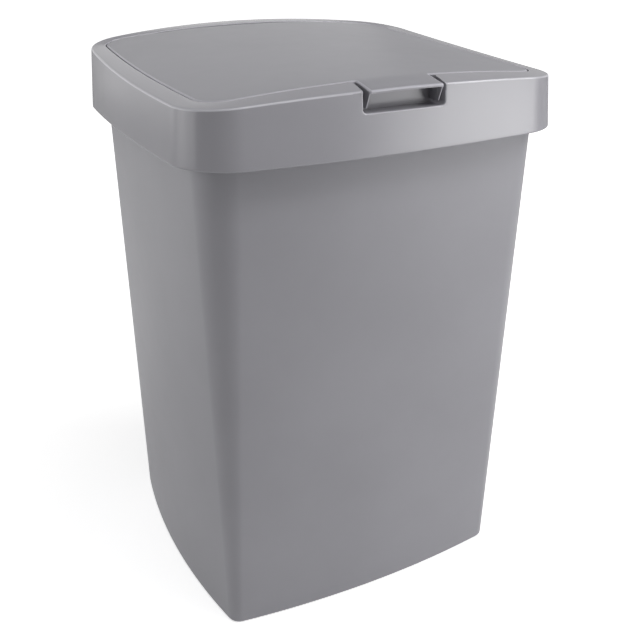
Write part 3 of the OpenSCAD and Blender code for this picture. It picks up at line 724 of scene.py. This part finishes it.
# White floor, which pales away from the bin in the picture and keeps its shadow
FLOOR_FADE, FLOOR_GLOW, FLOOR_GLOSS = (0.35, 1.6), (0.62, 1.0), 0.17
WORLD_LIGHT, WORLD_WHITE, WORLD_GLOSS = 0.10, 1.0, 0.45
floor_mesh = bpy.data.meshes.new("floor")
floor_mesh.from_pydata([(-6, -6, 0), (6, -6, 0), (6, 6, 0), (-6, 6, 0)], [], [(0, 1, 2, 3)])
floor = bpy.data.objects.new("floor", floor_mesh)
scene.collection.objects.link(floor)
mat = bpy.data.materials.new("floor_white")
mat.use_nodes = True
nt = mat.node_tree
out = nt.nodes["Material Output"]
bsdf = nt.nodes["Principled BSDF"]
bsdf.inputs["Base Color"].default_value = (0.82, 0.82, 0.82, 1)
bsdf.inputs["Roughness"].default_value = 0.9
path = nt.nodes.new("ShaderNodeLightPath")
place = nt.nodes.new("ShaderNodeTexCoord")
reach = nt.nodes.new("ShaderNodeVectorMath")
reach.operation = "LENGTH"
nt.links.new(place.outputs["Object"], reach.inputs[0])
fade = nt.nodes.new("ShaderNodeMapRange")
fade.inputs["From Min"].default_value, fade.inputs["From Max"].default_value = FLOOR_FADE
fade.inputs["To Min"].default_value, fade.inputs["To Max"].default_value = FLOOR_GLOW
nt.links.new(reach.outputs["Value"], fade.inputs["Value"])
glow = nt.nodes.new("ShaderNodeEmission")
lift = nt.nodes.new("ShaderNodeMath")
lift.operation = "MULTIPLY"
nt.links.new(path.outputs["Is Camera Ray"], lift.inputs[0])
nt.links.new(fade.outputs["Result"], lift.inputs[1])
gleam = nt.nodes.new("ShaderNodeMath")
gleam.operation = "MULTIPLY_ADD"
gleam.inputs[1].default_value = FLOOR_GLOSS
nt.links.new(path.outputs["Is Glossy Ray"], gleam.inputs[0])
nt.links.new(lift.outputs[0], gleam.inputs[2])
nt.links.new(gleam.outputs[0], glow.inputs["Strength"])
add = nt.nodes.new("ShaderNodeAddShader")
nt.links.new(bsdf.outputs[0], add.inputs[0])
nt.links.new(glow.outputs[0], add.inputs[1])
nt.links.new(add.outputs[0], out.inputs["Surface"])
floor.data.materials.append(mat)

# White surround, plain as light and white in the picture
world = bpy.data.worlds.new("surround")
scene.world = world
world.use_nodes = True
nt = world.node_tree
back = nt.nodes["Background"]
back.inputs["Color"].default_value = (1, 1, 1, 1)
path = nt.nodes.new("ShaderNodeLightPath")
span = nt.nodes.new("ShaderNodeMapRange")
span.inputs["To Min"].default_value, span.inputs["To Max"].default_value = WORLD_LIGHT, WORLD_WHITE
nt.links.new(path.outputs["Is Camera Ray"], span.inputs["Value"])
gloss = nt.nodes.new("ShaderNodeMath")
gloss.operation = "MULTIPLY_ADD"
gloss.inputs[1].default_value = WORLD_GLOSS
nt.links.new(path.outputs["Is Glossy Ray"], gloss.inputs[0])
nt.links.new(span.outputs["Result"], gloss.inputs[2])
nt.links.new(gloss.outputs[0], back.inputs["Strength"])


def lamp(name, place, target, size, power, size_y=None):
    """A soft rectangular lamp aimed at a place, in metres."""
    data = bpy.data.lights.new(name, "AREA")
    data.energy, data.shape, data.size, data.size_y = power, "RECTANGLE", size, size_y or size
    obj = bpy.data.objects.new(name, data)
    obj.location = place
    obj.rotation_euler = (Vector(target) - Vector(place)).to_track_quat("-Z", "Y").to_euler()
    scene.collection.objects.link(obj)


# Soft lamps: name, place, target, width, power in watts, height
lamp("key", (1.17, -1.17, 0.75), (0, 0, 0.33), 0.7, 5.0, 1.2)
lamp("high_right", (1.3, -0.75, 1.5), (0, 0, 0.4), 0.7, 13.4, 0.7)
lamp("side_left", (-1.75, 0.0, 0.75), (0, 0, 0.33), 0.7, 3.6, 1.2)
lamp("rear_left", (-1.64, 0.6, 0.75), (0, 0, 0.33), 0.7, 4.8, 1.2)
lamp("back_left", (-1.24, 1.24, 0.75), (0, 0, 0.33), 0.7, 3.3, 1.2)
lamp("back", (-0.74, 1.59, 0.75), (0, 0, 0.33), 0.7, 1.9, 1.2)
lamp("top", (0, -0.25, 2.1), (0, -0.02, 0.45), 1.1, 4.4, 0.5)
lamp("top_front", (0, -0.9, 1.9), (0, 0, 0.45), 1.2, 6.7, 0.4)
lamp("front", (0.3, -2.2, 0.9), (0, 0, 0.3), 1.2, 1.6, 0.8)
lamp("low_front", (1.0, -1.2, 0.2), (0, 0, 0.03), 0.7, 1.2, 0.3)
lamp("back_wall", (0, 2.4, 0.95), (0, 0, 0.45), 3.2, 3.0, 0.8)
lamp("panel_30", (0.7, -1.21, 0.4), (0, 0, 0.4), 0.35, 0.8, 0.6)
lamp("panel_45", (0.99, -0.99, 0.4), (0, 0, 0.4), 0.35, 0.7, 0.6)
lamp("panel_58", (1.19, -0.74, 0.4), (0, 0, 0.4), 0.35, 0.8, 0.6)

scene.view_settings.view_transform = "Standard"
